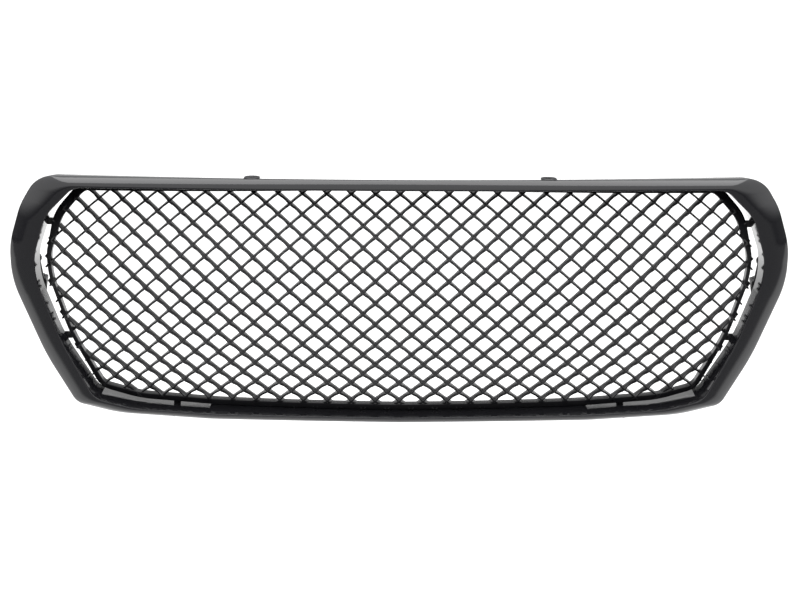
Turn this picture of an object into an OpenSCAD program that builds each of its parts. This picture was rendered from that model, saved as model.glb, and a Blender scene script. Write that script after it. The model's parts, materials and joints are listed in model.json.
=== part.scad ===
// Mesh front grille for a large off-roader: a gloss surround with a separate
// diamond mesh insert screwed in from behind, and the hardware that mounts it.
// Frame: +X right as seen from the front, -Y towards the viewer, +Z up.
// The origin is midway between the holes of the two upper tabs, on their top face.

/* [Surround] */
// Overall width of the surround
grille_w = 1007; // [900:1:1210]
// Overall height of the surround
grille_h = 323; // [290:1:390]
// Height of the top rail as seen from the front
top_rail_h = 13.5; // [11:0.5:17]
// Height of the bottom rail as seen from the front
bottom_rail_h = 9.5; // [8.5:0.5:12]
// Width of each side wing at its widest point
wing_w = 35; // [28:1:44]
// Wall thickness of the surround
wall = 2.5; // [2:0.1:3.2]
// Plan radius of the surround's front lip
lip_plan_r = 6000; // [4500:100:9000]

/* [Mesh insert] */
// Width of one diamond, bar centre to bar centre
cell_w = 31.5; // [26:0.1:38]
// Height of one diamond along the curved face
cell_h = 28.7; // [24:0.1:35]
// Thickness of each bar
bar_t = 2.3; // [1.9:0.1:2.8]
// Depth of the bars from front to back
mesh_depth = 14; // [12:0.5:17]
// Width of the rim round the mesh
rim_w = 3; // [2.5:0.1:4]
// Plan radius of the mesh's front face
mesh_plan_r = 2200; // [1800:10:3000]
// Side-view radius of the mesh above its crown
upper_r = 231; // [220:1:280]
// Side-view radius of the mesh below its crown
lower_r = 366; // [340:1:450]
// Gap between the mesh rim and the surround at the sides
side_gap = 12; // [9:0.5:14]
// Gap between the mesh rim and the surround at top and bottom
edge_gap = 1.5; // [1:0.1:2]

/* [Fasteners] */
// Outer radius of the screw bosses
boss_r = 4; // [3.6:0.1:4.4]
// Radius of the pilot hole in a boss
pilot_r = 1.6; // [1.4:0.05:1.8]
// Radius of the clearance hole in each mesh ear
screw_hole_r = 2.2; // [2.1:0.05:2.6]
// Radius of the washer under each mesh screw
washer_r = 4.5; // [4:0.1:4.8]
// Distance between neighbouring top and bottom mesh screws
screw_pitch = 118; // [100:1:135]

/* [Mounting] */
// Distance between the two upper tab holes
tab_pitch = 379; // [340:1:455]
// Radius of the hole in each upper tab
tab_hole_r = 3.5; // [3:0.1:4.2]
// Radius of the rounded end of each upper tab
tab_r = 10.3; // [9:0.1:12.4]
// Radius of the retainer shank
shank_r = 4; // [3.6:0.1:4.8]
// Travel of the retainer's centre pin
pin_travel = 6; // [5:0.5:7]

/* [Hidden] */
$fn = 48;

half_w = grille_w / 2;
// The tab holes carry the origin, so the rest hangs from these two offsets.
tab_y = 24;             // the lip's crown lies this far in front of the tab holes
tab_top = 155.5;        // height of the tab faces above the mesh's datum
top_z = 155;
bottom_z = top_z - grille_h;

// ---- outlines: corner points of the right half, [x, z, radius] ----
outer_corners = [
    [half_w - 38, top_z, 45], [half_w - 14.5, top_z - 39, 100],
    [half_w + 1, top_z - 89, 110], [half_w, top_z - 137, 160],
    [half_w - 42, bottom_z + 84, 300], [half_w - 80, bottom_z + 21, 22],
    [half_w - 134, bottom_z + 8.5, 200], [half_w - 254, bottom_z + 2.5, 600]];
lip_x = half_w - wing_w;
lip_corners = [
    [lip_x - 52, top_z - top_rail_h, 26], [lip_x - 14, top_z - 51, 60],
    [lip_x + 2, top_z - 105, 70], [lip_x, top_z - 137, 140],
    [lip_x - 29, bottom_z + 108, 300], [lip_x - 71, bottom_z + 30, 30],
    [lip_x - 124, bottom_z + 17.5, 150], [lip_x - 229, bottom_z + 12.5, 600]];
outer_ends = [top_z, bottom_z];
lip_ends = [top_z - top_rail_h, bottom_z + bottom_rail_h];
// Steps round each corner, and along the straight top and bottom.
corner_steps = [6, 3, 4, 4, 2, 5, 2, 2];
top_steps = 8;
bottom_steps = 6;

// Share of the full side gap at each corner of the mesh rim, top to bottom.
gap_share = [0.35, 0.85, 1.1, 1.1, 0.8, 0.35, 0.1, 0.05];

function unit(v) = v / norm(v);
function right_normal(v) = [v[1], -v[0]];
function flat(lists) = [for (l = lists) each l];
function lerp(a, b, f) = a + (b - a) * f;

corner_room = 0.49;     // share of each side that a rounded corner may take
// Points that round the corner b of the path a-b-c in n steps.
function rounded(a, b, c, r, n) =
    let (u = unit(a - b), w = unit(c - b),
         half = acos(u * w) / 2,
         t = min(r / tan(half), corner_room * norm(a - b), corner_room * norm(c - b)),
         rr = t * tan(half),
         m = b + unit(u + w) * rr / sin(half),
         p = b + u * t - m,
         q = b + w * t - m,
         start = atan2(p[1], p[0]),
         turn = (atan2(q[1], q[0]) - start + 540) % 360 - 180)
    [for (i = [0:n]) m + rr * [cos(start + turn * i / n), sin(start + turn * i / n)]];

// Closed outline, clockwise from the top centre, of a mirrored corner list.
function outline(corners, ends) =
    let (path = concat([[0, ends[0]]], [for (c = corners) [c[0], c[1]]], [[0, ends[1]]]),
         n = len(corners),
         arcs = flat([for (i = [0:n - 1])
             rounded(path[i], path[i + 1], path[i + 2], corners[i][2], corner_steps[i])]),
         half = concat(
             [for (i = [0:top_steps - 1]) lerp(path[0], arcs[0], i / top_steps)],
             arcs,
             [for (i = [1:bottom_steps])
                 lerp(arcs[len(arcs) - 1], path[n + 1], i / bottom_steps)]))
    concat(half, [for (i = [len(half) - 2:-1:1]) [-half[i][0], half[i][1]]]);

// The corner list moved towards the opening by one distance per corner.
function inset_corners(corners, ends, gaps) =
    let (path = concat([[0, ends[0]]], [for (c = corners) [c[0], c[1]]], [[0, ends[1]]]))
    [for (i = [0:len(corners) - 1])
        let (n1 = right_normal(unit(path[i + 1] - path[i])),
             n2 = right_normal(unit(path[i + 2] - path[i + 1])),
             moved = path[i + 1] + (n1 + n2) * gaps[i] / (1 + n1 * n2))
        [moved[0], moved[1], max(corners[i][2] - gaps[i], 4)]];
function inset_ends(ends, gap) = [ends[0] - gap, ends[1] + gap];

// ---- curved faces: y of the lip, and of the mesh's front, at a point ----
function lip_y(x) = x * x / (2 * lip_plan_r);
crown_z = 5;
function arc_drop(r, d) = r - sqrt(r * r - d * d);
function side_y(z) = arc_drop(z > crown_z ? upper_r : lower_r, z - crown_z);
function mesh_y(p) = arc_drop_plan(side_y(p[1]), p[0]);
function arc_drop_plan(y, x) = mesh_plan_r - sqrt(pow(mesh_plan_r - y, 2) - x * x);

outer_line = outline(outer_corners, outer_ends);
lip_line = outline(lip_corners, lip_ends);
rim_gaps = [for (s = gap_share) edge_gap + s * (side_gap - edge_gap)];
rim_corners = inset_corners(lip_corners, lip_ends, rim_gaps);
rim_ends = inset_ends(lip_ends, edge_gap);
rim_line = outline(rim_corners, rim_ends);
rim_inner_line = outline(
    inset_corners(rim_corners, rim_ends, [for (c = rim_corners) rim_w]),
    inset_ends(rim_ends, rim_w));

module place() { translate([0, -tab_y, -tab_top]) children(); }

// ---- surround ----
face_rise = 6;          // how far the outer edge lies behind the lip, plus
face_slope = 0.25;      // this share of the face's width
lip_round = 1.2;        // rounding of the front lip
skirt_min = 11;         // depth of the outer wall on a narrow rail
skirt_slope = 0.5;      // extra depth for each millimetre of face width
skirt_draft = 0.26;     // how much the outer wall leans in, per millimetre of depth
reveal_lap = 4;         // how far the reveal wall reaches past the mesh's front
reveal_taper = 0.02;    // how much the reveal wall leans in, per millimetre

function face_back(w) = face_rise + face_slope * w;
function face_y(s, w) = face_back(w) * pow(s / w, 2.2);

// Cross-section at one station: [distance outwards from the lip, depth].
function section(w, reveal) =
    let (back = face_back(w) + skirt_min + skirt_slope * max(w - 13, 0),
         lean = skirt_draft * (back - face_back(w)),
         inner = w - 2 * wall)
    [[0, lip_round * 1.6], [lip_round, 0],
     [w * 0.4, face_y(w * 0.4, w)], [w * 0.7, face_y(w * 0.7, w)],
     [w * 0.9, face_y(w * 0.9, w)], [w, face_back(w)],
     [w - lean, back], [w - lean - wall, back],
     [w - wall * 1.1, face_back(w) + wall],
     [wall + inner * 0.7, face_y(wall + inner * 0.7, w) + wall],
     [wall + inner * 0.3, face_y(wall + inner * 0.3, w) + wall],
     [wall, wall + lip_round],
     [wall - reveal * reveal_taper, reveal], [-reveal * reveal_taper, reveal]];

module surround_shell() {
    n = len(lip_line);
    rings = [for (i = [0:n - 1])
        let (l = lip_line[i], o = outer_line[i], w = norm(o - l), d = (o - l) / w,
             reveal = mesh_y(rim_line[i]) + reveal_lap - lip_y(l[0]))
        [for (s = section(w, reveal))
            let (p = l + d * s[0]) [p[0], s[1] + lip_y(l[0]), p[1]]]];
    m = len(rings[0]);
    polyhedron(
        points = flat(rings),
        faces = [for (i = [0:n - 1]) for (j = [0:m - 1])
            let (a = i * m + j, b = i * m + (j + 1) % m,
                 c = ((i + 1) % n) * m + (j + 1) % m, e = ((i + 1) % n) * m + j)
            each [[a, b, c], [a, c, e]]],
        convexity = 8);
}

// ---- screw stations: [boss point, rim point] in X and Z ----
mesh_lead = 6;          // how far the bars stand in front of the mesh's reference face
ear_t = 3;              // thickness of the mesh ears
ear_r = boss_r + 0.6;
pilot_l = 14;           // depth of the pilot holes
screw_pairs = floor((lip_x - 50) / screw_pitch);
station_x = [for (i = [-screw_pairs:screw_pairs - 1]) (i + 0.5) * screw_pitch];
side_screw_z = [88, -62];
side_boss_in = 9;       // how far the side bosses stand outside the lip

// Height of the outline at x, on its upper (top = true) or lower half.
function line_z(line, x, top) =
    let (n = len(line), hits = [for (i = [0:n - 1])
            let (a = line[i], b = line[(i + 1) % n])
            if ((a[0] - x) * (b[0] - x) <= 0 && a[0] != b[0])
                lerp(a[1], b[1], (x - a[0]) / (b[0] - a[0]))])
    top ? max(hits) : min(hits);
// Half width of the outline at height z.
function line_x(line, z) =
    let (n = len(line), hits = [for (i = [0:n - 1])
            let (a = line[i], b = line[(i + 1) % n])
            if ((a[1] - z) * (b[1] - z) <= 0 && a[1] != b[1])
                lerp(a[0], b[0], (z - a[1]) / (b[1] - a[1]))])
    max(hits);

rail_stations = [for (x = station_x)
    [[x, (line_z(lip_line, x, false) + line_z(outer_line, x, false)) / 2],
     [x, line_z(rim_line, x, false)]]];
side_stations = flat([for (z = side_screw_z) for (side = [-1, 1])
    [[[side * (line_x(lip_line, z) + side_boss_in), z],
      [side * line_x(rim_line, z), z]]]]);
stations = concat(rail_stations, side_stations);
// Stops along the top edge, which bear on the end of the surround's inner wall.
stop_w = 14;
stop_rise = 2;          // how far a stop reaches above the lip
stops = [for (x = station_x)
    [[x, line_z(lip_line, x, true) + stop_rise], [x, line_z(rim_line, x, true)]]];
function ear_y(st) = mesh_y(st[1]) + mesh_depth - mesh_lead - ear_t;

// Cylinder along +Y from y0 to y1 at [x, z].
module rod(p, r, y0, y1) {
    translate([p[0], y0, p[1]]) rotate([-90, 0, 0]) cylinder(r = r, h = y1 - y0);
}

// A boss of radius r starts inside the face, s outside the lip where the face is w wide.
root = 0.3;             // how far a boss starts behind the face's front
function boss_y(x, s, r, w) = lip_y(x) + face_y(min(s + r, w), w) + root;
function rail_w(x) = line_z(lip_line, x, false) - line_z(outer_line, x, false);
function side_w(z) = line_x(outer_line, z) - line_x(lip_line, z);

// ---- side supports: a plate on two wing bosses, with a shelf for the retainer ----
support_z = [62, -22];
support_in = 17;        // bosses stand this far outside the lip
support_boss_r = boss_r + 0.5;
support_t = 3;
support_r = 9;          // half width of the plate
support_y = 62;
function support_pt(side, z) = [side * (line_x(lip_line, z) + support_in), z];
shelf_z = 12;
shelf_w = 26;
web_l = 14;             // legs of the two webs under the shelf
shelf_y = support_y + support_t + web_l;    // centre of the retainer

bumper_rise = 26;       // bumper above the shelf
bumper_neck_r = 3;
// Tongue below the lower boss, which carries a sheet-metal nut.
tongue_w = 16;
tongue_l = 29;
nut_drop = 20;
nut_clear_r = 3.3;
nut_thread_r = 2.5;
function nut_pt(side) = support_pt(side, support_z[1]) - [0, nut_drop];

// ---- lower blades and clips ----
blade_w = 20;
blade_t = 2.5;
blade_y = [14, 52];
clip_t = 0.8;
function clip_x(i) = i * screw_pitch;   // blades stand midway between two screws
function blade_z(i) = line_z(outer_line, clip_x(i), false) + skirt_draft * skirt_min + 1;

tab_t = 3;              // thickness of an upper tab
root_l = 6;             // length of the thicker root where a tab leaves the rail
module upper_tab(x) {
    y0 = lip_y(x) + face_back(top_rail_h) + 1;
    translate([x, tab_y, tab_top - tab_t]) cylinder(r = tab_r, h = tab_t);
    translate([x - tab_r, y0, tab_top - tab_t]) cube([2 * tab_r, tab_y - y0, tab_t]);
    translate([x - tab_r, y0, tab_top - 2 * tab_t]) cube([2 * tab_r, root_l, 2 * tab_t - 1]);
}

module surround_frame() {
    color("#17181a") place() difference() {
        union() {
            surround_shell();
            for (st = rail_stations) {
                w = rail_w(st[0][0]);
                rod(st[0], boss_r, boss_y(st[0][0], w / 2, boss_r, w), ear_y(st));
            }
            for (st = side_stations)
                rod(st[0], boss_r,
                    boss_y(st[0][0], side_boss_in, boss_r, side_w(st[0][1])), ear_y(st));
            for (side = [-1, 1]) for (z = support_z) {
                p = support_pt(side, z);
                rod(p, support_boss_r,
                    boss_y(p[0], support_in, support_boss_r, side_w(z)), support_y);
            }
            for (side = [-1, 1]) upper_tab(side * tab_pitch / 2);
            for (i = [-2:2])
                translate([clip_x(i) - blade_w / 2, blade_y[0], blade_z(i) - 1])
                    cube([blade_w, blade_y[1] - blade_y[0], blade_t]);
        }
        for (st = stations) rod(st[0], pilot_r, ear_y(st) - pilot_l, ear_y(st) + 1);
        for (side = [-1, 1]) for (z = support_z)
            rod(support_pt(side, z), pilot_r, support_y - pilot_l, support_y + 1);
        for (side = [-1, 1])
            translate([side * tab_pitch / 2, tab_y, tab_top - tab_t - 1])
                cylinder(r = tab_hole_r, h = tab_t + 2);
    }
}

// ---- mesh insert ----
// Place of a lattice point: u half-cells across, v half-cells down, on the curved face.
datum_s = 11.8 - crown_z;
function deg(rad) = rad * 180 / PI;
function cell_x(u) = mesh_plan_r * sin(deg(u * cell_w / 2 / mesh_plan_r));
function cell_z(v) =
    let (s = datum_s - v * cell_h / 2, r = s > 0 ? upper_r : lower_r)
    crown_z + r * sin(deg(s / r));
bar_pitch = cell_w * cell_h / norm([cell_w, cell_h]);
open_share = 1 - bar_t / bar_pitch;
col_max = ceil(2 * lip_x / cell_w) + 1;
row_range = [-ceil((top_z - crown_z) * 2.3 / cell_h), ceil((crown_z - bottom_z) * 2.2 / cell_h)];

smallest_cell = 25;     // cells cut smaller than this by the rim are left solid
// The part of the convex outline pts that lies to the right of the line a-b.
function clipped(pts, a, b) =
    let (m = right_normal(unit(b - a)), side = [for (p = pts) (p - a) * m], n = len(pts))
    [for (i = [0:n - 1])
        let (k = (i + 1) % n)
        each concat(side[i] >= 0 ? [pts[i]] : [],
            side[i] * side[k] < 0
                ? [lerp(pts[i], pts[k], side[i] / (side[i] - side[k]))] : [])];
function clip_all(pts, line, i = 0) =
    i == len(line) || len(pts) == 0 ? pts
        : clip_all(clipped(pts, line[i], line[(i + 1) % len(line)]), line, i + 1);
function area(pts) = abs(sum([for (i = [0:len(pts) - 1])
    let (p = pts[i], q = pts[(i + 1) % len(pts)]) p[0] * q[1] - p[1] * q[0]])) / 2;
function sum(list) = list * [for (i = list) 1];

function diamond(u, v) = [for (d = [[1, 0], [0, 1], [-1, 0], [0, -1]])
    [cell_x(u + d[0] * open_share), cell_z(v + d[1] * open_share)]];
cells = [for (v = [row_range[0]:row_range[1]]) for (u = [-col_max:col_max])
    if ((u + v) % 2 == 0)
        let (cell = clip_all(diamond(u, v), rim_inner_line))
        if (len(cell) > 2 && area(cell) > smallest_cell) cell];

// Side profile of the curved slab between two depths behind the mesh's front.
module slab(y0, y1) {
    steps = 6;
    z_hi = top_z + 5;
    z_lo = bottom_z - 5;
    zs = concat([for (i = [0:steps]) lerp(z_lo, crown_z, i / steps)],
                [for (i = [1:steps]) lerp(crown_z, z_hi, i / steps)]);
    translate([0, mesh_plan_r, 0]) rotate([0, 0, -105])
        rotate_extrude(angle = 30, $fn = 200)
            polygon(concat([for (z = zs) [mesh_plan_r - side_y(z) - y0, z]],
                [for (i = [len(zs) - 1:-1:0]) [mesh_plan_r - side_y(zs[i]) - y1, zs[i]]]));
}

module ear(st) {
    inward = unit(st[1] - st[0]);
    far = st[1] + inward * (rim_w - 0.5);
    along = norm(far - st[0]);
    translate([st[0][0], ear_y(st) + ear_t, st[0][1]]) rotate([90, 0, 0]) linear_extrude(ear_t) {
        circle(r = ear_r);
        rotate(atan2(inward[1], inward[0])) translate([0, -ear_r]) square([along, 2 * ear_r]);
    }
}

module stop(st) {
    foot = st[1][1] - rim_w + 0.5;
    translate([st[0][0] - stop_w / 2, ear_y(st), foot]) cube([stop_w, ear_t, st[0][1] - foot]);
}

module mesh_insert() {
    color("#1b1b1d") place() difference() {
        union() {
            intersection() {
                slab(-mesh_lead, mesh_depth - mesh_lead);
                along_y() polygon(rim_line);
            }
            for (st = stations) ear(st);
            for (st = stops) stop(st);
        }
        for (cell = cells) along_y() polygon(cell);
        for (st = stations) rod(st[0], screw_hole_r, ear_y(st) - 1, ear_y(st) + ear_t + 1);
    }
}
module along_y() { translate([0, 150, 0]) rotate([90, 0, 0]) linear_extrude(160) children(); }

// ---- screws and washers ----
washer_t = 0.8;
screw_l = 14;
head_h = 2.4;
slot_w = 0.8;           // width and depth of the cross slot
module pan_screw(p, seat, head_r) {
    rod(p, pilot_r, seat - screw_l, seat + 0.5);
    difference() {
        rod(p, head_r, seat, seat + head_h);
        for (a = [0, 90])
            translate([p[0], seat + head_h - slot_w, p[1]]) rotate([0, a, 0])
                translate([-head_r - 1, 0, -slot_w / 2]) cube([2 * head_r + 2, head_h, slot_w]);
    }
}
module mesh_screws() {
    color("#8f9296") place() for (st = stations)
        pan_screw(st[0], ear_y(st) + ear_t + washer_t, boss_r - 0.4);
}
module mesh_washers() {
    color("#a9acb0") place() for (st = stations) difference() {
        rod(st[0], washer_r, ear_y(st) + ear_t, ear_y(st) + ear_t + washer_t);
        rod(st[0], screw_hole_r, ear_y(st) + ear_t - 1, ear_y(st) + ear_t + washer_t + 1);
    }
}

module side_support(side) {
    hi = support_pt(side, support_z[0]);
    lo = support_pt(side, support_z[1]);
    mid = [(hi[0] + lo[0]) / 2, shelf_z];
    difference() {
        union() {
            translate([0, support_y + support_t, 0]) rotate([90, 0, 0])
                linear_extrude(support_t) {
                    hull() for (p = [hi, lo]) translate(p) circle(r = support_r);
                    translate(lo + [-tongue_w / 2, -tongue_l]) square([tongue_w, tongue_l]);
                }
            translate([mid[0] - shelf_w / 2, support_y, shelf_z - support_t])
                cube([shelf_w, shelf_y - support_y, support_t]);
            translate([mid[0], shelf_y, shelf_z - support_t])
                cylinder(r = shelf_w / 2, h = support_t);
            for (x = [-shelf_w / 2, shelf_w / 2 - support_t])
                translate([mid[0] + x, support_y + support_t - 0.5, shelf_z - support_t])
                    rotate([90, 0, 90]) linear_extrude(support_t)
                        polygon([[0, 0], [web_l, 0], [0, -web_l]]);
        }
        translate([mid[0], shelf_y, shelf_z - support_t - 1])
            cylinder(r = shank_r + pin_gap, h = support_t + 2);
        for (p = [hi, lo]) rod(p, screw_hole_r, support_y - 1, support_y + support_t + 1);
        rod([mid[0], shelf_z + bumper_rise], bumper_neck_r,
            support_y - 1, support_y + support_t + 1);
        rod(nut_pt(side), nut_clear_r, support_y - 1, support_y + support_t + 1);
    }
}
module side_support_left() { color("#2c2d2f") place() side_support(-1); }
module side_support_right() { color("#2c2d2f") place() side_support(1); }
module side_support_screws() {
    color("#8f9296") place() for (side = [-1, 1]) for (z = support_z)
        pan_screw(support_pt(side, z), support_y + support_t, boss_r);
}

function shelf_x(side) =
    (support_pt(side, support_z[0])[0] + support_pt(side, support_z[1])[0]) / 2;

// ---- push retainers ----
pin_r = 2.2;
pin_gap = 0.06;
flange_r = 9;
flange_t = 2;
shank_l = 9 + pin_travel;   // through both panels, plus the pin's stroke
module retainer_body(side) {
    translate([shelf_x(side), shelf_y, shelf_z]) difference() {
        union() {
            cylinder(r = flange_r, h = flange_t);
            translate([0, 0, -shank_l]) cylinder(r = shank_r, h = shank_l);
            translate([0, 0, -shank_l - 3]) cylinder(r1 = shank_r - 1, r2 = shank_r, h = 3);
        }
        translate([0, 0, -shank_l - 4]) cylinder(r = pin_r + pin_gap, h = shank_l + 10);
        for (a = [0, 90]) rotate(a)
            translate([-flange_r, -0.5, -shank_l - 4]) cube([2 * flange_r, 1, shank_l - 1]);
    }
}
module retainer_pin(side) {
    translate([shelf_x(side), shelf_y, shelf_z]) {
        translate([0, 0, flange_t + 0.3]) cylinder(r = 6, h = 2);
        translate([0, 0, -shank_l - 2]) cylinder(r = pin_r, h = shank_l + flange_t + 3);
    }
}
module retainer_body_left() { color("#202124") place() retainer_body(-1); }
module retainer_body_right() { color("#202124") place() retainer_body(1); }
module retainer_pin_left() { color("#303236") place() retainer_pin(-1); }
module retainer_pin_right() { color("#303236") place() retainer_pin(1); }

// ---- lower spring clips, folded over the end of each blade ----
clip_w = 14;
clip_l = 18;
clip_bulge = 2.4;
module lower_clip(i) {
    color("#9a9da1") place()
        translate([clip_x(i) - clip_w / 2, blade_y[1], blade_z(i) - 1]) rotate([90, 0, 90])
            linear_extrude(clip_w) polygon([
                [clip_t, blade_t + clip_t], [clip_t, -clip_t],
                [-clip_l * 0.55, -clip_t - clip_bulge], [-clip_l, -clip_t],
                [-clip_l, 0], [-clip_l * 0.55, -clip_bulge], [0, 0],
                [0, blade_t], [-clip_l, blade_t], [-clip_l, blade_t + clip_t]]);
}
module lower_clip_outer_left() { lower_clip(-2); }
module lower_clip_inner_left() { lower_clip(-1); }
module lower_clip_centre() { lower_clip(0); }
module lower_clip_inner_right() { lower_clip(1); }
module lower_clip_outer_right() { lower_clip(2); }

// ---- rubber bumpers pressed into the side supports ----
bumper_r = 7;
bumper_l = 9;
module bumper(side) {
    p = [shelf_x(side), shelf_z + bumper_rise];
    back = support_y + support_t;
    color("#232323") place() {
        rod(p, bumper_neck_r, support_y - 1, back + 1);
        rod(p, bumper_r, back, back + 0.8 * bumper_l);
        rod(p, 0.8 * bumper_r, back + 0.7 * bumper_l, back + bumper_l);
        rod(p, bumper_neck_r + 1.2, support_y - 3, support_y);
    }
}
module bumper_left() { bumper(-1); }
module bumper_right() { bumper(1); }

// ---- sheet-metal nuts folded over the tongues of the side supports ----
nut_t = 1;
nut_w = 14;
nut_l = 19;
module side_nut(side) {
    p = nut_pt(side);
    foot = support_pt(side, support_z[1])[1] - tongue_l;
    front = support_y - nut_t;
    back = support_y + support_t;
    color("#9a9da1") place() difference() {
        union() {
            for (y = [front, back])
                translate([p[0] - nut_w / 2, y, foot - nut_t]) cube([nut_w, nut_t, nut_l]);
            translate([p[0] - nut_w / 2, front, foot - nut_t])
                cube([nut_w, back + nut_t - front, nut_t]);
            rod(p, 4.2, back + nut_t - 0.2, back + nut_t + 4);
        }
        rod(p, nut_thread_r, front - 1, back + nut_t + 5);
    }
}
module side_nut_left() { side_nut(-1); }
module side_nut_right() { side_nut(1); }

surround_frame();
mesh_insert();
mesh_screws();
mesh_washers();
side_support_left();
side_support_right();
side_support_screws();
retainer_body_left();
retainer_body_right();
retainer_pin_left();
retainer_pin_right();
lower_clip_outer_left();
lower_clip_inner_left();
lower_clip_centre();
lower_clip_inner_right();
lower_clip_outer_right();
bumper_left();
bumper_right();
side_nut_left();
side_nut_right();
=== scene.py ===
# %% [markdown]
# # A mesh front grille in gloss black
#
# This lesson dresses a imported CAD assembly: a wide black grille with a rounded
# surround and a bowed diamond mesh screwed in from behind. The CAD holds the sizes
# and the two push retainers that move. Here the surround and the mesh get smooth,
# detailed shapes and every piece gets its finish.

import json
import math

import bpy
import numpy as np
from mathutils import Matrix, Vector


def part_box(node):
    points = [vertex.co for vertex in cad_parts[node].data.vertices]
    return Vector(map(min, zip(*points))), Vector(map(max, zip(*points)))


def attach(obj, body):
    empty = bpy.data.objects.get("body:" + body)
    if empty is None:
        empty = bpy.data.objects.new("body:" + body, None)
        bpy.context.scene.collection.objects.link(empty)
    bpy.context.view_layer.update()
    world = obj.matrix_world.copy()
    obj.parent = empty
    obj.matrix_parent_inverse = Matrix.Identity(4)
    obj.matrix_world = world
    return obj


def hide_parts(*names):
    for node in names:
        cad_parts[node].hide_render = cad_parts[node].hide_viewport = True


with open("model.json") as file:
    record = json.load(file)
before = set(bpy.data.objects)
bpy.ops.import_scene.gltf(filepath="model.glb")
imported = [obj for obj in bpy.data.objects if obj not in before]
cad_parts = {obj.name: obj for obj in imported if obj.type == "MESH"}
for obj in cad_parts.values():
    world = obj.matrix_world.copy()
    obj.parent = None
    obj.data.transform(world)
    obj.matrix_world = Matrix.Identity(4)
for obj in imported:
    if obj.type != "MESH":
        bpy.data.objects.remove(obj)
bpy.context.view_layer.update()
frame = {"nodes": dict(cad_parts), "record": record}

# %% [markdown]
# ## The curves that everything follows
#
# The surround is a strip between two outlines: the inner lip and the outer edge. Each
# outline is a short list of corner points with a radius, as a designer would draw it.
# The overall size is read from the frame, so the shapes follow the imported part.
# Lengths below are millimetres, measured from the mesh's datum: a point is turned
# into the frame's metres only when it goes into a mesh.

# %% Outlines
MM = 0.001
TAB_Y = 24.0            # the lip's crown lies this far in front of the tab holes
TAB_TOP = 155.5         # height of the tabs' top faces above the datum
low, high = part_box("surround_frame")
HALF_W = (high[0] - low[0]) / 2 / MM
TOP_Z = 155.0
BOTTOM_Z = low[2] / MM + TAB_TOP
TOP_RAIL, BOTTOM_RAIL, WING = 13.5, 9.5, 35.0
LIP_X = HALF_W - WING
LIP_PLAN_R = 6000.0

OUTER_CORNERS = [
    (HALF_W - 38, TOP_Z, 45), (HALF_W - 14.5, TOP_Z - 39, 100),
    (HALF_W + 1, TOP_Z - 89, 110), (HALF_W, TOP_Z - 137, 160),
    (HALF_W - 42, BOTTOM_Z + 84, 300), (HALF_W - 80, BOTTOM_Z + 21, 22),
    (HALF_W - 134, BOTTOM_Z + 8.5, 200), (HALF_W - 254, BOTTOM_Z + 2.5, 600)]
LIP_CORNERS = [
    (LIP_X - 52, TOP_Z - TOP_RAIL, 26), (LIP_X - 14, TOP_Z - 51, 60),
    (LIP_X + 2, TOP_Z - 105, 70), (LIP_X, TOP_Z - 137, 140),
    (LIP_X - 29, BOTTOM_Z + 108, 300), (LIP_X - 71, BOTTOM_Z + 30, 30),
    (LIP_X - 124, BOTTOM_Z + 17.5, 150), (LIP_X - 229, BOTTOM_Z + 12.5, 600)]
OUTER_ENDS = (TOP_Z, BOTTOM_Z)
LIP_ENDS = (TOP_Z - TOP_RAIL, BOTTOM_Z + BOTTOM_RAIL)
CORNER_STEPS = (24, 12, 14, 14, 8, 20, 8, 8)
TOP_STEPS, BOTTOM_STEPS = 60, 40
CORNER_ROOM = 0.49      # share of each side that a rounded corner may take


def unit(v):
    v = np.asarray(v, float)
    return v / np.linalg.norm(v)


def right_normal(v):
    return np.array([v[1], -v[0]])


def rounded(a, b, c, radius, steps):
    """Points that round the corner b of the path a-b-c."""
    u, w = unit(a - b), unit(c - b)
    half = math.acos(np.clip(u @ w, -1, 1)) / 2
    reach = min(radius / math.tan(half), CORNER_ROOM * np.linalg.norm(a - b),
                CORNER_ROOM * np.linalg.norm(c - b))
    r = reach * math.tan(half)
    centre = b + unit(u + w) * r / math.sin(half)
    p, q = b + u * reach - centre, b + w * reach - centre
    start = math.atan2(p[1], p[0])
    turn = (math.atan2(q[1], q[0]) - start + 3 * math.pi) % (2 * math.pi) - math.pi
    angles = start + turn * np.linspace(0, 1, steps + 1)
    return centre + r * np.column_stack([np.cos(angles), np.sin(angles)])


def outline(corners, ends):
    """Closed outline, clockwise from the top centre, of a mirrored corner list."""
    path = [np.array([0, ends[0]])] + [np.array(c[:2]) for c in corners]
    path.append(np.array([0, ends[1]]))
    arcs = [rounded(path[i], path[i + 1], path[i + 2], corners[i][2], CORNER_STEPS[i])
            for i in range(len(corners))]
    arcs = np.vstack(arcs)
    top = path[0] + (arcs[0] - path[0]) * np.linspace(0, 1, TOP_STEPS, endpoint=False)[:, None]
    rest = np.linspace(0, 1, BOTTOM_STEPS + 1)[1:, None]
    bottom = arcs[-1] + (path[-1] - arcs[-1]) * rest
    half = np.vstack([top, arcs, bottom])
    other = half[-2:0:-1] * [-1, 1]
    return np.vstack([half, other])


def moved_in(corners, ends, gaps, end_gap):
    """The corner list and ends moved towards the opening, by one gap per corner."""
    path = [np.array([0, ends[0]])] + [np.array(c[:2]) for c in corners]
    path.append(np.array([0, ends[1]]))
    out = []
    for i, corner in enumerate(corners):
        n1 = right_normal(unit(path[i + 1] - path[i]))
        n2 = right_normal(unit(path[i + 2] - path[i + 1]))
        p = path[i + 1] + (n1 + n2) * gaps[i] / (1 + n1 @ n2)
        out.append((p[0], p[1], max(corner[2] - gaps[i], 4)))
    return out, (ends[0] - end_gap, ends[1] + end_gap)


outer_line = outline(OUTER_CORNERS, OUTER_ENDS)
lip_line = outline(LIP_CORNERS, LIP_ENDS)
print("stations round the surround:", len(lip_line))

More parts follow.
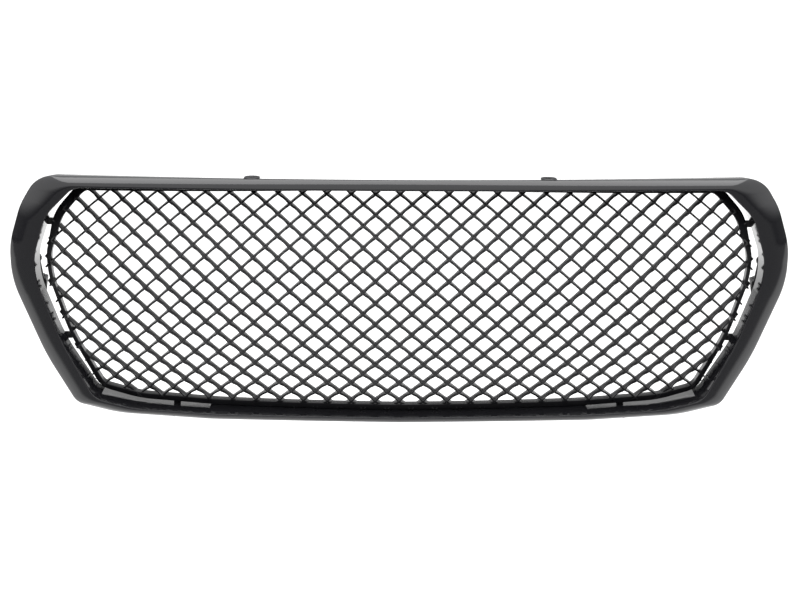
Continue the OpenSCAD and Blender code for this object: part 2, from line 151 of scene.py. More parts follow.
# %% [markdown]
# ## The mesh's curved face
#
# The mesh is bowed twice. In plan it follows a wide arc, and from the side it leans
# back above and below a crown, each on its own radius. Two small formulas say how far
# back the face lies at any point, and both the CAD and this script use them.

# %% Curved face and mesh rim
CELL_W, CELL_H = 31.5, 28.7
BAR_T, RIM_W = 2.3, 3.0
MESH_PLAN_R, UPPER_R, LOWER_R, CROWN_Z = 2200.0, 231.0, 366.0, 5.0
DATUM_S = 9.5 - CROWN_Z
SIDE_GAP, EDGE_GAP = 12.0, 1.5
GAP_SHARE = (0.35, 0.85, 1.1, 1.1, 0.8, 0.35, 0.1, 0.05)
MESH_DEPTH, MESH_LEAD = 14.0, 6.0    # the rim and ears, in front of and behind the curved face
BAR_DEPTH, BAR_LEAD = 20.0, 9.0      # the bars themselves stand a little proud of the rim


def lip_y(x):
    return x * x / (2 * LIP_PLAN_R)


def mesh_y(x, z):
    """Depth of the mesh's reference face behind the lip's crown."""
    r = np.where(z > CROWN_Z, UPPER_R, LOWER_R)
    side = r - np.sqrt(r * r - (z - CROWN_Z) ** 2)
    return MESH_PLAN_R - np.sqrt((MESH_PLAN_R - side) ** 2 - x * x)


rim_gaps = [EDGE_GAP + s * (SIDE_GAP - EDGE_GAP) for s in GAP_SHARE]
rim_corners, rim_ends = moved_in(LIP_CORNERS, LIP_ENDS, rim_gaps, EDGE_GAP)
rim_line = outline(rim_corners, rim_ends)

# %% [markdown]
# ## Mesh helpers
#
# Most pieces here are a section carried along a path. `loft` takes a stack of rings
# with the same number of points and skins them. When the last ring joins the first,
# the result is a closed tube, like the surround itself.

# %% Helpers
def to_frame(points):
    """Datum millimetres to the frame's metres."""
    p = np.asarray(points, float).reshape(-1, 3)
    return (p - [0, TAB_Y, TAB_TOP]) * MM


def loft(rings):
    """Vertices and quads of a closed loop of closed rings, shape (n, m, 3)."""
    rings = np.asarray(rings, float)
    n, m = rings.shape[:2]
    i, j = np.meshgrid(np.arange(n), np.arange(m), indexing="ij")
    i2, j2 = (i + 1) % n, (j + 1) % m
    quads = np.stack([i * m + j, i2 * m + j, i2 * m + j2, i * m + j2], axis=-1)
    return rings.reshape(-1, 3), quads.reshape(-1, 4)


def outward(verts, faces):
    """Turns the faces round if the shell is inside out."""
    a, b, c = verts[faces[:, 0]], verts[faces[:, 1]], verts[faces[:, 2]]
    d = verts[faces[:, 3]]
    volume = np.einsum("ij,ij->", a, np.cross(b, c)) + np.einsum("ij,ij->", a, np.cross(c, d))
    return faces if volume > 0 else faces[:, ::-1]


def piece(name, shells, sharp_deg=35):
    """One object made of several closed shells given in datum millimetres."""
    verts, faces, start = [], [], 0
    for v, f in shells:
        v = to_frame(v)
        verts.append(v)
        faces.append(outward(v, f) + start)
        start += len(v)
    mesh = bpy.data.meshes.new(name)
    mesh.from_pydata(np.vstack(verts).tolist(), [], np.vstack(faces).tolist())
    mesh.shade_smooth()
    mesh.set_sharp_from_angle(angle=math.radians(sharp_deg))
    ob = bpy.data.objects.new(name, mesh)
    bpy.context.scene.collection.objects.link(ob)
    print(f"{name}: {len(shells)} shells, {len(mesh.polygons)} faces")
    return ob


# A plate with a round hole: rings run round the hole, each ring going bottom, hole,
# top and outer edge, with small bevels. `reach` gives the outer edge at an angle.
def holed_plate(centre, hole_r, reach, thick, right, ahead, bevel=0.5, steps=48):
    centre, right, ahead = (np.asarray(v, float) for v in (centre, right, ahead))
    up = np.cross(right, ahead)
    rings = []
    for a in np.linspace(0, 2 * math.pi, steps, endpoint=False):
        out = reach(a)
        d = math.cos(a) * right + math.sin(a) * ahead
        ring = [(hole_r + bevel, 0), (hole_r, bevel), (hole_r, thick - bevel),
                (hole_r + bevel, thick), (out - bevel, thick), (out, thick - bevel),
                (out, bevel), (out - bevel, 0)]
        rings.append([centre + d * r + up * h for r, h in ring])
    return loft(rings)


def capsule_reach(radius, length):
    """Outer edge of a plate that is round behind its hole and runs straight ahead."""
    def reach(a):
        side, ahead = abs(math.cos(a)), math.sin(a)
        if ahead <= 0:
            return radius
        return min(radius / max(side, 1e-6), length / ahead)
    return reach


def tube(p, outer, inner, y0, y1, bevel=0.4, steps=32):
    """A boss along +Y at [x, z]."""
    rings = []
    for a in np.linspace(0, 2 * math.pi, steps, endpoint=False):
        dx, dz = math.cos(a), math.sin(a)
        section = [(inner, y0), (inner, y1), (outer - bevel, y1), (outer, y1 - bevel), (outer, y0)]
        rings.append([(p[0] + dx * r, y, p[1] + dz * r) for r, y in section])
    return loft(rings)

# %% [markdown]
# ## The surround
#
# The real surround is one injection moulding. Seen in section it is a thin shell: a
# small rounded lip at the opening, a face that sweeps back to the outer edge, a skirt
# behind that edge and a reveal wall that runs back to the mesh. A sweep along the two
# outlines is the natural way to make it, because the section changes width all the
# way round. Both roundings get several points, so that they catch a thin highlight.

# %% Surround section
WALL = 2.5
FACE_RISE, FACE_SLOPE, FACE_POWER = 6.0, 0.25, 2.2
LIP_ROUND, EDGE_ROUND = 1.2, 2.2
SKIRT_MIN, SKIRT_SLOPE, SKIRT_DRAFT = 11.0, 0.5, 0.26
REVEAL_LAP, REVEAL_TAPER = 4.0, 0.02


def face_back(w):
    return FACE_RISE + FACE_SLOPE * w


def face_y(s, w):
    return face_back(w) * (np.maximum(s, 0) / w) ** FACE_POWER


def bezier(p0, p1, p2, steps):
    t = np.linspace(0, 1, steps)[:, None]
    p0, p1, p2 = (np.asarray(p, float) for p in (p0, p1, p2))
    return (1 - t) ** 2 * p0 + 2 * t * (1 - t) * p1 + t * t * p2


def section(w, reveal):
    """Cross-section at one station: distance outwards from the lip, and depth."""
    back = face_back(w) + SKIRT_MIN + SKIRT_SLOPE * max(w - 13, 0)
    lean = SKIRT_DRAFT * (back - face_back(w))
    skirt = unit([-lean, back - face_back(w)])
    edge = np.array([w, face_back(w)])
    lip = bezier((0, 2 * LIP_ROUND), (0, 0), (1.4 * LIP_ROUND, face_y(1.4 * LIP_ROUND, w)), 6)
    s = np.linspace(1.4 * LIP_ROUND, w - EDGE_ROUND, 16)[1:-1]
    face = np.column_stack([s, face_y(s, w)])
    start = (w - EDGE_ROUND, face_y(w - EDGE_ROUND, w))
    turn = bezier(start, edge, edge + skirt * EDGE_ROUND, 6)
    foot = edge + skirt * (back - face_back(w))
    heel = bezier(foot - skirt * 0.8, foot, foot + [-0.8, 0], 3)
    s = np.linspace(w - 1.1 * WALL, WALL, 8)
    inner = np.column_stack([s, face_y(s, w) + WALL])
    inner[-1, 1] = WALL + LIP_ROUND
    taper = -reveal * REVEAL_TAPER
    end = [(WALL + taper, reveal - 0.4), (WALL + taper - 0.4, reveal),
           (taper + 0.4, reveal), (taper, reveal - 0.4)]
    return np.vstack([lip, face, turn, heel, [(foot[0] - WALL, back)], inner, end])


def surround_shell():
    rings = []
    for lip, outer, rim in zip(lip_line, outer_line, rim_line):
        w = np.linalg.norm(outer - lip)
        d = (outer - lip) / w
        reveal = float(mesh_y(rim[0], rim[1])) + REVEAL_LAP - lip_y(lip[0])
        s = section(w, reveal)
        p = lip + s[:, :1] * d
        rings.append(np.column_stack([p[:, 0], s[:, 1] + lip_y(lip[0]), p[:, 1]]))
    return loft(rings)


# %% Screw stations, tabs and blades
EAR_T, BOSS_R, PILOT_R, SCREW_HOLE_R, SCREW_PITCH = 3.0, 4.0, 1.6, 2.2, 118.0
EAR_R = BOSS_R + 0.6
STOP_W, STOP_RISE = 14.0, 2.0
SIDE_SCREW_Z, SIDE_BOSS_IN = (88.0, -62.0), 9.0
SUPPORT_Z, SUPPORT_IN, SUPPORT_Y = (62.0, -22.0), 17.0, 62.0
SUPPORT_BOSS_R = BOSS_R + 0.5
BLADE_W, BLADE_T, BLADE_Y = 20.0, 2.5, (14.0, 52.0)
ROOT = 0.3              # a boss starts this far behind the face's front


def crossings(line, axis, value):
    """The other coordinate where an outline crosses axis = value."""
    a, b = line, np.roll(line, -1, axis=0)
    hit = (a[:, axis] - value) * (b[:, axis] - value) <= 0
    hit &= a[:, axis] != b[:, axis]
    f = (value - a[hit, axis]) / (b[hit, axis] - a[hit, axis])
    return a[hit, 1 - axis] + f * (b[hit, 1 - axis] - a[hit, 1 - axis])


def line_z(line, x, top):
    return crossings(line, 0, x).max() if top else crossings(line, 0, x).min()


def line_x(line, z):
    return crossings(line, 1, z).max()


pairs = int((LIP_X - 50) // SCREW_PITCH)
station_x = [(i + 0.5) * SCREW_PITCH for i in range(-pairs, pairs)]
stations = []
for x in station_x:
    lip_z, edge_z = line_z(lip_line, x, False), line_z(outer_line, x, False)
    stations.append({"boss": (x, (lip_z + edge_z) / 2), "rim": (x, line_z(rim_line, x, False)),
                     "width": lip_z - edge_z, "inset": (lip_z - edge_z) / 2})
for z in SIDE_SCREW_Z:
    for side in (-1, 1):
        x = line_x(lip_line, z)
        stations.append({"boss": (side * (x + SIDE_BOSS_IN), z),
                         "rim": (side * line_x(rim_line, z), z),
                         "width": line_x(outer_line, z) - x, "inset": SIDE_BOSS_IN})


def ear_y(x, z):
    return float(mesh_y(np.float64(x), np.float64(z))) + MESH_DEPTH - MESH_LEAD - EAR_T


for st in stations:
    st["ear_y"] = ear_y(*st["rim"])


def boss_y(x, inset, radius, width):
    return lip_y(x) + float(face_y(min(inset + radius, width), width)) + ROOT


shells = [surround_shell()]
for st in stations:
    x, z = st["boss"]
    y0 = boss_y(x, st["inset"], BOSS_R, st["width"])
    shells.append(tube((x, z), BOSS_R, PILOT_R, y0, st["ear_y"]))
for side in (-1, 1):
    for z in SUPPORT_Z:
        x = line_x(lip_line, z)
        y0 = boss_y(x + SUPPORT_IN, SUPPORT_IN, SUPPORT_BOSS_R, line_x(outer_line, z) - x)
        shells.append(tube((side * (x + SUPPORT_IN), z), SUPPORT_BOSS_R, PILOT_R, y0, SUPPORT_Y))

# %% [markdown]
# ### Tabs and blades
#
# The two upper tabs are flat ears with a plain hole. The lower edge carries five
# blades that the spring clips fold over. The tab spacing comes from the record's
# mount, so the holes stay where the CAD has them.

# %% Tabs and blades
tabs = next(m for m in frame["record"]["mounts"] if m["name"] == "upper_tabs")
TAB_PITCH, TAB_HOLE_R = tabs["dims"]["spacing_x_mm"], tabs["dims"]["hole_r_mm"]
TAB_R, TAB_T = 10.3, 3.0
TAB_ROOT = 6.0          # length and height of the thicker root at the rail


def block(lo, hi, bevel=0.6):
    """A bevelled box, made as a closed loop of sections along X."""
    (x0, y0, z0), (x1, y1, z1) = lo, hi
    def ring(x, inset):
        c = [(y0 + inset, z0 + bevel + inset), (y0 + bevel + inset, z0 + inset),
             (y1 - bevel - inset, z0 + inset), (y1 - inset, z0 + bevel + inset),
             (y1 - inset, z1 - bevel - inset), (y1 - bevel - inset, z1 - inset),
             (y0 + bevel + inset, z1 - inset), (y0 + inset, z1 - bevel - inset)]
        return [(x, y, z) for y, z in c]
    middle = ((y0 + y1) / 2, (z0 + z1) / 2)
    cap0, cap1 = ([(x, *middle)] * 8 for x in (x0, x1))
    return loft([cap0, ring(x0, bevel), ring(x0 + bevel, 0), ring(x1 - bevel, 0),
                 ring(x1, bevel), cap1])


for side in (-1, 1):
    x = side * TAB_PITCH / 2
    y0 = lip_y(x) + face_back(TOP_RAIL) + 1
    shells.append(holed_plate((x, TAB_Y, TAB_TOP), TAB_HOLE_R, capsule_reach(TAB_R, TAB_Y - y0),
                              TAB_T, (1, 0, 0), (0, -1, 0)))
    shells.append(block((x - TAB_R, y0, TAB_TOP - TAB_ROOT),
                        (x + TAB_R, y0 + TAB_ROOT, TAB_TOP - 1)))
for i in range(-2, 3):
    x = i * SCREW_PITCH
    z = line_z(outer_line, x, False) + SKIRT_DRAFT * SKIRT_MIN
    shells.append(block((x - BLADE_W / 2, BLADE_Y[0], z),
                        (x + BLADE_W / 2, BLADE_Y[1], z + BLADE_T)))
surround = piece("surround", shells)

# %% [markdown]
# ## The diamond mesh
#
# The mesh is a lattice of upright fins. Each fin is full depth where it crosses
# another and is scooped back in an arc between crossings, which gives the openings
# their arched, woven look. Geometry Nodes suit it: the centre lines are drawn flat,
# one modifier gives them a section, scoops the front, and bends the lot on to the
# curved face. Every size is a named input of the modifier.

# %% Node helpers
class Value:
    """A number socket that Python expressions can use. Each operator adds a Math node."""

    def __init__(self, tree, socket):
        self.tree, self.socket = tree, socket

    def math(self, operation, *others):
        node = self.tree.nodes.new("ShaderNodeMath")
        node.operation = operation
        for slot, item in zip(node.inputs, others):
            feed(self.tree, slot, item)
        return Value(self.tree, node.outputs[0])

    def __add__(self, o): return self.math("ADD", self, o)
    def __radd__(self, o): return self.math("ADD", o, self)
    def __sub__(self, o): return self.math("SUBTRACT", self, o)
    def __rsub__(self, o): return self.math("SUBTRACT", o, self)
    def __mul__(self, o): return self.math("MULTIPLY", self, o)
    def __rmul__(self, o): return self.math("MULTIPLY", o, self)
    def __truediv__(self, o): return self.math("DIVIDE", self, o)
    def __rtruediv__(self, o): return self.math("DIVIDE", o, self)
    def __pow__(self, o): return self.math("POWER", self, o)
    def __lt__(self, o): return self.math("LESS_THAN", self, o)
    def __gt__(self, o): return self.math("GREATER_THAN", self, o)


def feed(tree, slot, item):
    """Sets a socket to a value, or links a Value or a socket to it."""
    if isinstance(item, Value):
        item = item.socket
    if isinstance(item, bpy.types.NodeSocket):
        tree.links.new(item, slot)
    else:
        slot.default_value = item


class Graph:
    """Adds nodes to a tree: type, settings first, then sockets by name or number."""

    def __init__(self, tree):
        self.tree = tree

    def node(self, kind, settings=None, **sockets):
        node = self.tree.nodes.new(kind)
        for name, value in (settings or {}).items():
            setattr(node, name, value)
        for name, item in sockets.items():
            key = int(name[1:]) if name[0] == "i" and name[1:].isdigit() else name.replace("_", " ")
            feed(self.tree, node.inputs[key], item)
        return node

    def value(self, kind, settings=None, output=0, **sockets):
        return Value(self.tree, self.node(kind, settings, **sockets).outputs[output])


# %% Mesh lattice tree
def lattice_tree():
    tree = bpy.data.node_groups.new("mesh_lattice", "GeometryNodeTree")
    face = tree.interface
    face.new_socket("Centre Lines", in_out="INPUT", socket_type="NodeSocketGeometry")
    sizes = {"Bar Thickness": BAR_T, "Bar Depth": BAR_DEPTH, "Front Rounding": 0.55,
             "Scoop Depth": 5.0, "Flat Share": 0.1, "Half Cell": CELL_W / 2,
             "Plan Radius": MESH_PLAN_R, "Upper Radius": UPPER_R, "Lower Radius": LOWER_R,
             "Crown Height": CROWN_Z, "Lead": BAR_LEAD, "Scale": MM, "Back Shift": TAB_Y,
             "Drop": TAB_TOP}
    for name, value in sizes.items():
        face.new_socket(name, in_out="INPUT", socket_type="NodeSocketFloat").default_value = value
    face.new_socket("Finish", in_out="INPUT", socket_type="NodeSocketMaterial")
    face.new_socket("Mesh", in_out="OUTPUT", socket_type="NodeSocketGeometry")
    g = Graph(tree)
    inputs = tree.nodes.new("NodeGroupInput")
    size = {name: Value(tree, inputs.outputs[name]) for name in sizes}

    # The fin's section: a rounded rectangle whose front edge lies at depth 0.
    flat = g.node("GeometryNodeCurvePrimitiveQuadrilateral", Width=size["Bar Thickness"],
                  Height=size["Bar Depth"])
    round_ = g.node("GeometryNodeFilletCurve", {"mode": "POLY"}, Curve=flat.outputs[0],
                    Radius=size["Front Rounding"], Count=2)
    shift = g.node("ShaderNodeCombineXYZ", Y=size["Bar Depth"] * -0.5)
    profile = g.node("GeometryNodeTransform", Geometry=round_.outputs[0],
                     Translation=shift.outputs[0])
    lines = g.node("GeometryNodeMeshToCurve", Mesh=inputs.outputs["Centre Lines"])
    upright = g.node("GeometryNodeSetCurveNormal", {"mode": "Z_UP"}, Curve=lines.outputs[0])
    bars = g.node("GeometryNodeCurveToMesh", Curve=upright.outputs[0],
                  Profile_Curve=profile.outputs[0], Fill_Caps=True)

    # Scoop the front between crossings, then bend the flat lattice on to the face.
    at = g.node("ShaderNodeSeparateXYZ", Vector=g.node("GeometryNodeInputPosition").outputs[0])
    across, up, depth = (Value(tree, at.outputs[k]) for k in range(3))
    phase = (across / size["Half Cell"]).math("FRACT", across / size["Half Cell"])
    run = (phase - size["Flat Share"]) / (1 - 2 * size["Flat Share"])
    run = run.math("MINIMUM", run.math("MAXIMUM", run, 0.0), 1.0)
    scoop = size["Scoop Depth"] * 4 * run * (1 - run)
    front = depth < size["Bar Depth"] * 0.5
    depth = depth + scoop * front
    above = up > 0.0
    radius = size["Lower Radius"] + (size["Upper Radius"] - size["Lower Radius"]) * above
    turn = up / radius
    side = radius - radius * turn.math("COSINE", turn)
    height = size["Crown Height"] + radius * turn.math("SINE", turn)
    swing = across / size["Plan Radius"]
    x = size["Plan Radius"] * swing.math("SINE", swing)
    reach = size["Plan Radius"] - side
    inside = reach * reach - x * x
    y = size["Plan Radius"] - inside.math("SQRT", inside) + depth - size["Lead"]
    where = g.node("ShaderNodeCombineXYZ", X=x * size["Scale"],
                   Y=(y - size["Back Shift"]) * size["Scale"],
                   Z=(height - size["Drop"]) * size["Scale"])
    bent = g.node("GeometryNodeSetPosition", Geometry=bars.outputs[0], Position=where.outputs[0])
    turned = g.node("GeometryNodeFlipFaces", Mesh=bent.outputs[0])
    real = g.node("GeometryNodeRealizeInstances", Geometry=turned.outputs[0])
    done = g.node("GeometryNodeSetMaterial", Geometry=real.outputs[0],
                  Material=inputs.outputs["Finish"])
    g.node("NodeGroupOutput", i0=done.outputs[0])
    return tree


# %% [markdown]
# ### Centre lines
#
# A crossing sits wherever a rising bar meets a falling one. Lattice steps count half
# cells, so every bar passes a crossing at each whole step. The bars run on a little
# past the rim at the sides, where they end as small knobs in the open gap.

# %% Centre lines
STEPS_PER_CELL = 10
KNOB_REACH = 4.5
KNOB_SHARE = (0.2, 0.8, 1, 1, 0.8, 0.3, 0.1, 0)     # of the reach, at each corner
END_INSET = 1.2         # bars stop this far inside the rim's top and bottom edges
HALVINGS = 12           # steps that find where a bar meets the outline
reach_gaps = [-KNOB_REACH * share for share in KNOB_SHARE]
reach_corners, reach_ends = moved_in(rim_corners, rim_ends, reach_gaps, END_INSET)
reach_line = outline(reach_corners, reach_ends)


def lattice_point(u, v):
    """Flat place of a lattice point, and its place on the face as x and z."""
    p, s = u * CELL_W / 2, DATUM_S - v * CELL_H / 2
    r = np.where(s > 0, UPPER_R, LOWER_R)
    return p, s, MESH_PLAN_R * np.sin(p / MESH_PLAN_R), CROWN_Z + r * np.sin(s / r)


def inside(line, x, z):
    """True where points lie inside a closed outline."""
    a, b = line, np.roll(line, -1, axis=0)
    x, z = np.atleast_1d(x)[:, None], np.atleast_1d(z)[:, None]
    spans = (a[:, 1] > z) != (b[:, 1] > z)
    rise = np.where(b[:, 1] == a[:, 1], 1e-9, b[:, 1] - a[:, 1])
    cross = a[:, 0] + (z - a[:, 1]) * (b[:, 0] - a[:, 0]) / rise
    return (spans & (x < cross)).sum(axis=1) % 2 == 1


def centre_lines(slope):
    """Flat polylines of all bars of one family; slope is +1 or -1."""
    span = int(LIP_X / (CELL_W / 2)) + 2
    verts, edges = [], []
    for c in range(-2 * span + 1, 2 * span, 2):
        def at(u):
            return lattice_point(u, slope * (u - c))
        u = np.arange(-span, span + 1e-9, 1 / STEPS_PER_CELL)
        p, s, x, z = at(u)
        kept = np.nonzero(inside(reach_line, x, z) & (np.abs(s) < UPPER_R))[0]
        if len(kept) < 3:
            continue
        ends = []
        step = 1 / STEPS_PER_CELL
        first, last = u[kept[0]], u[kept[-1]]
        for good, bad in ((first, first - step), (last, last + step)):
            for _ in range(HALVINGS):
                half = (good + bad) / 2
                if inside(reach_line, *at(half)[2:])[0]:
                    good = half
                else:
                    bad = half
            ends.append(good)
        stops = np.concatenate([[ends[0]], u[kept][1:-1], [ends[1]]])
        p, s = at(stops)[:2]
        start = len(verts)
        verts += [(a, b, 0.0) for a, b in zip(p, s)]
        edges += [(k, k + 1) for k in range(start, len(verts) - 1)]
    return verts, edges


def bars(name, slope, tree, finish):
    verts, edges = centre_lines(slope)
    mesh = bpy.data.meshes.new(name + "_lines")
    mesh.from_pydata(verts, edges, [])
    ob = bpy.data.objects.new(name, mesh)
    bpy.context.scene.collection.objects.link(ob)
    mod = ob.modifiers.new("lattice", "NODES")
    mod.node_group = tree
    for item in tree.interface.items_tree:
        if item.in_out == "INPUT" and item.socket_type == "NodeSocketMaterial":
            mod[item.identifier] = finish
        elif item.in_out == "INPUT" and item.socket_type == "NodeSocketFloat":
            mod[item.identifier] = item.default_value
    bpy.context.view_layer.update()
    seen = ob.evaluated_get(bpy.context.evaluated_depsgraph_get())
    plain = bpy.data.meshes.new_from_object(seen)
    ob.modifiers.remove(mod)
    ob.data = plain
    plain.shade_smooth()
    plain.set_sharp_from_angle(angle=math.radians(40))
    print(f"{name}: {len(plain.polygons)} faces")
    return ob


# %% [markdown]
# ## Finishes
#
# Everything you see first is gloss black plastic. Such a finish is nearly black under
# a clear skin: what the eye reads is the room reflected in it, broken by a faint
# orange-peel ripple, a thin haze and a little dust. The colour stays almost constant
# and the roughness and the bump carry the detail.

# %% Material builder
def material(name, build):
    """A procedural material; `build` gets the graph, the shader node and the coordinates."""
    mat = bpy.data.materials.new(name)
    mat.use_nodes = True
    tree = mat.node_tree
    tree.nodes.clear()
    g = Graph(tree)
    shader = g.node("ShaderNodeBsdfPrincipled")
    place = g.node("ShaderNodeTexCoord").outputs["Object"]
    build(g, shader, place)
    g.node("ShaderNodeOutputMaterial", Surface=shader.outputs[0])
    return mat


def noise(g, place, scale, detail=3.0, rough=0.5):
    return g.value("ShaderNodeTexNoise", Vector=place, Scale=scale, Detail=detail, Roughness=rough)


def mask(g, value, low_, high_):
    """0 below low_, 1 above high_, smooth between."""
    return g.value("ShaderNodeMapRange", {"interpolation_type": "SMOOTHSTEP"}, Value=value,
                   From_Min=low_, From_Max=high_)


def blend_colour(g, factor, a, b):
    mix = g.node("ShaderNodeMix", {"data_type": "RGBA"})
    feed(g.tree, mix.inputs["Factor"], factor)
    mix.inputs[6].default_value = (*a, 1)
    mix.inputs[7].default_value = (*b, 1)
    return mix.outputs[2]


def bump(g, height, strength, distance):
    return g.node("ShaderNodeBump", Height=height, Strength=strength, Distance=distance).outputs[0]


def gloss_black(base, dust, haze, peel):
    def build(g, shader, place):
        specks = mask(g, noise(g, place, 2600.0, 1.0), 0.70, 0.78)
        film = mask(g, noise(g, place, 14.0, 4.0), 0.45, 0.75)
        shader.inputs["IOR"].default_value = 1.5
        feed(g.tree, shader.inputs["Base Color"], blend_colour(g, specks * film, base, dust))
        feed(g.tree, shader.inputs["Roughness"], haze + film * 0.035 + specks * film * 0.3)
        ripple = noise(g, place, 420.0, 2.0)
        feed(g.tree, shader.inputs["Normal"], bump(g, ripple, peel, 0.00012))
    return build


surround_black = material("gloss_black_surround", gloss_black(
    (0.012, 0.012, 0.014), (0.06, 0.06, 0.06), 0.09, 0.25))
mesh_black = material("gloss_black_mesh", gloss_black(
    (0.014, 0.014, 0.016), (0.09, 0.09, 0.09), 0.3, 0.5))
surround.data.materials.append(surround_black)

# %% Bars
tree = lattice_tree()
rising = bars("mesh_bars_rising", -1, tree, mesh_black)
falling = bars("mesh_bars_falling", 1, tree, mesh_black)

# %% [markdown]
# ### Rim and ears
#
# A rim ties the bar ends together. It is slim along the top and the sides, and a broad
# band at the corners and along the bottom. The bars stand a little proud of it. Flat
# ears grow from its back to the bosses of the surround, and short stops bear on the
# surround's inner wall along the top.

# %% Rim and ears
# Gap to the lip and width of the rim at each corner of the lip, top to bottom.
RIM_GAPS = (1.2, 5, 11, 12, 8.5, 3.5, 1.2, 1.0)
RIM_WIDTHS = (12, 12, 6, 5, 5, 8, 9, 9)
RIM_END_GAP = 1.0
RIM_FRONT, RIM_BACK, RIM_ROUND = -MESH_LEAD, MESH_DEPTH - MESH_LEAD, 0.7


def rim_shell():
    outer_corners, outer_ends = moved_in(LIP_CORNERS, LIP_ENDS, RIM_GAPS, RIM_END_GAP)
    inner_corners, inner_ends = moved_in(outer_corners, outer_ends, RIM_WIDTHS, RIM_W)
    inner = outline(inner_corners, (inner_ends[0], outer_ends[1] + RIM_WIDTHS[-1]))
    depth = [RIM_FRONT, RIM_FRONT + RIM_ROUND, RIM_BACK - RIM_ROUND, RIM_BACK,
             RIM_BACK, RIM_BACK - RIM_ROUND, RIM_FRONT + RIM_ROUND, RIM_FRONT]
    rings = []
    for o, i in zip(outline(outer_corners, outer_ends), inner):
        b = RIM_ROUND / np.linalg.norm(i - o)
        across = [b, 0, 0, b, 1 - b, 1, 1, 1 - b]
        p = [o + (i - o) * f for f in across]
        rings.append([(q[0], float(mesh_y(q[0], q[1])) + d, q[1]) for q, d in zip(p, depth)])
    return loft(rings)


shells = [rim_shell()]
for st in stations:
    boss, rim_point = np.array(st["boss"]), np.array(st["rim"])
    d = unit(rim_point - boss)
    length = np.linalg.norm(rim_point + d * (RIM_W - 0.5) - boss)
    ahead = np.array([d[0], 0, d[1]])
    right = np.cross(ahead, (0, 1, 0))
    shells.append(holed_plate((boss[0], st["ear_y"], boss[1]), SCREW_HOLE_R,
                              capsule_reach(EAR_R, length), EAR_T, right, ahead, 0.4, 40))
for x in station_x:
    rim_z = line_z(rim_line, x, True)
    y = ear_y(x, rim_z)
    shells.append(block((x - STOP_W / 2, y, rim_z - RIM_W + 0.5),
                        (x + STOP_W / 2, y + EAR_T, line_z(lip_line, x, True) + STOP_RISE), 0.4))
rim = piece("mesh_rim", shells)
rim.data.materials.append(mesh_black)
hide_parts("surround_frame")
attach(surround, "grille")
for part in (rising, falling, rim):
    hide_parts("mesh_insert")
    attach(part, "grille")

# %% [markdown]
# ## Fasteners and brackets
#
# The hardware behind the grille keeps its CAD shape. Plated steel gets a grain and
# blotches of duller zinc, the brackets a moulded texture, the bumpers a chalky bloom.

# %% Hardware finishes
def metal(base, worn, rough, grain):
    def build(g, shader, place):
        shader.inputs["Metallic"].default_value = 1.0
        blotch = mask(g, noise(g, place, 180.0, 5.0), 0.42, 0.62)
        feed(g.tree, shader.inputs["Base Color"], blend_colour(g, blotch, base, worn))
        lines = g.node("ShaderNodeMapping", Vector=place, Scale=(2400.0, 160.0, 160.0))
        brushed = noise(g, lines.outputs[0], 1.0, 3.0)
        feed(g.tree, shader.inputs["Roughness"], rough + blotch * 0.12 + brushed * 0.1)
        feed(g.tree, shader.inputs["Normal"], bump(g, brushed, grain, 0.00005))
    return build


def moulded(base, rubbed, rough, grain, size):
    def build(g, shader, place):
        shade = mask(g, noise(g, place, 35.0, 4.0), 0.4, 0.7)
        feed(g.tree, shader.inputs["Base Color"], blend_colour(g, shade, base, rubbed))
        cells = g.value("ShaderNodeTexVoronoi", {"feature": "SMOOTH_F1"}, Vector=place, Scale=size)
        feed(g.tree, shader.inputs["Roughness"], rough + shade * 0.1)
        feed(g.tree, shader.inputs["Normal"], bump(g, cells, grain, 0.0001))
    return build


finishes = {
    "zinc_screws": (metal((0.56, 0.57, 0.58), (0.4, 0.41, 0.43), 0.24, 0.4),
                    ["mesh_screws", "side_support_screws"]),
    "zinc_washers": (metal((0.62, 0.62, 0.63), (0.46, 0.46, 0.48), 0.22, 0.4), ["mesh_washers"]),
    "blued_spring_steel": (metal((0.34, 0.36, 0.4), (0.2, 0.2, 0.24), 0.3, 0.5),
                           ["lower_clip_outer_left", "lower_clip_inner_left", "lower_clip_centre",
                            "lower_clip_inner_right", "lower_clip_outer_right"]),
    "zinc_sheet_nuts": (metal((0.5, 0.5, 0.47), (0.36, 0.36, 0.33), 0.3, 0.5),
                        ["side_nut_left", "side_nut_right"]),
    "grained_bracket": (moulded((0.02, 0.02, 0.021), (0.036, 0.036, 0.038), 0.5, 0.6, 900.0),
                        ["side_support_left", "side_support_right"]),
    "satin_nylon": (moulded((0.014, 0.014, 0.015), (0.026, 0.026, 0.028), 0.36, 0.3, 1500.0),
                    ["retainer_body_left", "retainer_body_right",
                     "retainer_pin_left", "retainer_pin_right"]),
    "chalky_rubber": (moulded((0.013, 0.013, 0.013), (0.04, 0.04, 0.038), 0.75, 0.5, 1200.0),
                      ["bumper_left", "bumper_right"]),
}
for name, (build, nodes) in finishes.items():
    mat = material(name, build)
    for node in nodes:
        ob = frame["nodes"][node]
        if not ob.material_slots:
            ob.data.materials.append(mat)
        for slot in ob.material_slots:
            slot.material = mat
    print(name, "on", len(nodes), "nodes")

# %% [markdown]
# ## Studio
#
# A gloss black part shows its room, so the room is the lighting. The sky is white
# above, grey low behind, which the bars' sides mirror, and dark low in front, where the
# viewer stands. The floor is pale, with a painted shade in front of the grille, and lies
# well below the grille, which hangs from its tabs.

# %% Floor
FLOOR_Z, FLOOR_REACH = -0.8, 14.0
# Colour of the painted shade on the floor in front of the grille.
FRONT_PAINTED_SHADE = (0.2, 0.2, 0.2, 1)
floor_mesh = bpy.data.meshes.new("floor")
corners = [(x * FLOOR_REACH, y * FLOOR_REACH, FLOOR_Z)
           for x, y in ((-1, -1), (1, -1), (1, 1), (-1, 1))]
floor_mesh.from_pydata(corners, [], [(0, 1, 2, 3)])
floor = bpy.data.objects.new("floor", floor_mesh)
bpy.context.scene.collection.objects.link(floor)


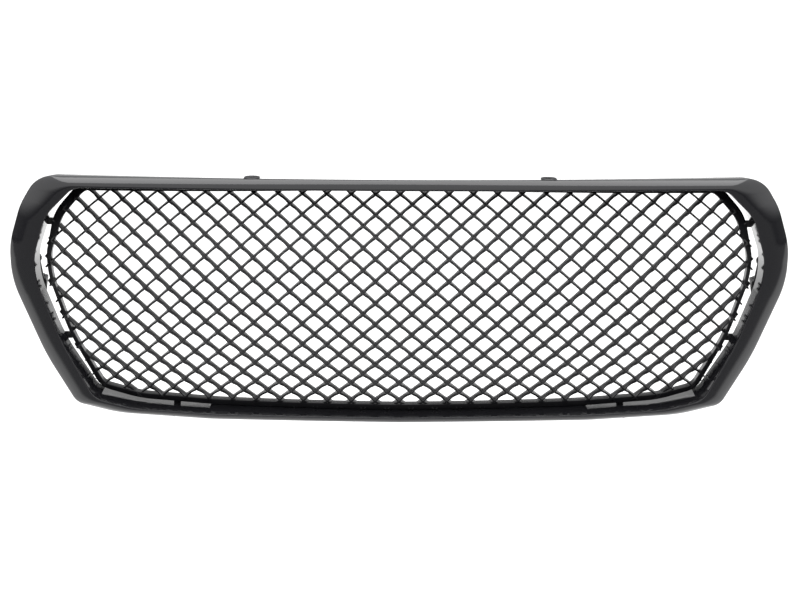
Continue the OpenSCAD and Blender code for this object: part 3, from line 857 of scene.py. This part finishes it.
def pale(g, shader, place):
    shader.inputs["Roughness"].default_value = 0.9
    tint = mask(g, noise(g, place, 1.5, 2.0), 0.3, 0.7)
    light = blend_colour(g, tint, (0.93, 0.93, 0.93), (0.95, 0.95, 0.95))
    # The floor is darker in front of the grille. This is painted shade for the unlit side of the
    # studio where the viewer stands, so that the face mirrors little light.
    y = Value(g.tree, g.node("ShaderNodeSeparateXYZ", Vector=place).outputs["Y"])
    mix = g.node("ShaderNodeMix", {"data_type": "RGBA"})
    feed(g.tree, mix.inputs["Factor"], mask(g, y * -1.0, 0.3, 0.8))
    feed(g.tree, mix.inputs[6], light)
    mix.inputs[7].default_value = FRONT_PAINTED_SHADE
    feed(g.tree, shader.inputs["Base Color"], mix.outputs[2])


floor_mesh.materials.append(material("pale_floor", pale))

# %% Sky and lamps
SKY, BACK, DARK = 1.6, 0.6, 0.03
world = bpy.data.worlds.new("studio")
bpy.context.scene.world = world
world.use_nodes = True
world.node_tree.nodes.clear()
g = Graph(world.node_tree)
way = g.node("ShaderNodeSeparateXYZ", Vector=g.node("ShaderNodeTexCoord").outputs["Generated"])
y, z = Value(g.tree, way.outputs["Y"]), Value(g.tree, way.outputs["Z"])
# The white begins near the horizon in front and higher up behind.
near_rise, far_rise = mask(g, z, -0.05, 0.3), mask(g, z, 0.35, 0.6)
rise = near_rise + (far_rise - near_rise) * mask(g, y, -0.1, 0.6)
low_sky = DARK + BACK * mask(g, y, 0.4, 0.8) * (1 - mask(g, z, 0.1, 0.22))
strength = low_sky + (SKY - low_sky) * rise
sky = g.node("ShaderNodeBackground", Color=(1, 1, 1, 1), Strength=strength)
g.node("ShaderNodeOutputWorld", Surface=sky.outputs[0])


def softbox(name, place, target, size, watts):
    lamp = bpy.data.lights.new(name, "AREA")
    lamp.shape = "RECTANGLE"
    lamp.size, lamp.size_y = size
    lamp.energy = watts
    ob = bpy.data.objects.new(name, lamp)
    ob.location = place
    ob.rotation_euler = (Vector(target) - Vector(place)).to_track_quat("-Z", "Y").to_euler()
    bpy.context.scene.collection.objects.link(ob)
    return ob


softbox("overhead", place=(0, 0.2, 2.4), target=(0, 0.2, 0), size=(3.0, 2.0), watts=60)
bpy.context.scene.view_settings.view_transform = "Standard"

# %% [markdown]
# ## Camera
#
# A long lens a little above the grille, looking slightly down, as for a catalogue.

# %% Camera
LENS, ROLL = 85.5, 0.35
EYE = Vector((-0.022, -2.395, 0.4291))
LOOK = Vector((0.0002, -0.024, -0.1555))
lens = bpy.data.cameras.new("camera")
lens.lens = LENS
lens.sensor_width = 36
camera = bpy.data.objects.new("camera", lens)
bpy.context.scene.collection.objects.link(camera)
forward = (LOOK - EYE).normalized()
right = forward.cross(Vector((0, 0, 1))).normalized()
up = right.cross(forward)
c, s = math.cos(math.radians(ROLL)), math.sin(math.radians(ROLL))
axes = Matrix((right * c + up * s, up * c - right * s, -forward)).transposed()
camera.matrix_world = Matrix.Translation(EYE) @ axes.to_4x4()
bpy.context.scene.camera = camera

# %% Update the scene
bpy.context.view_layer.update()
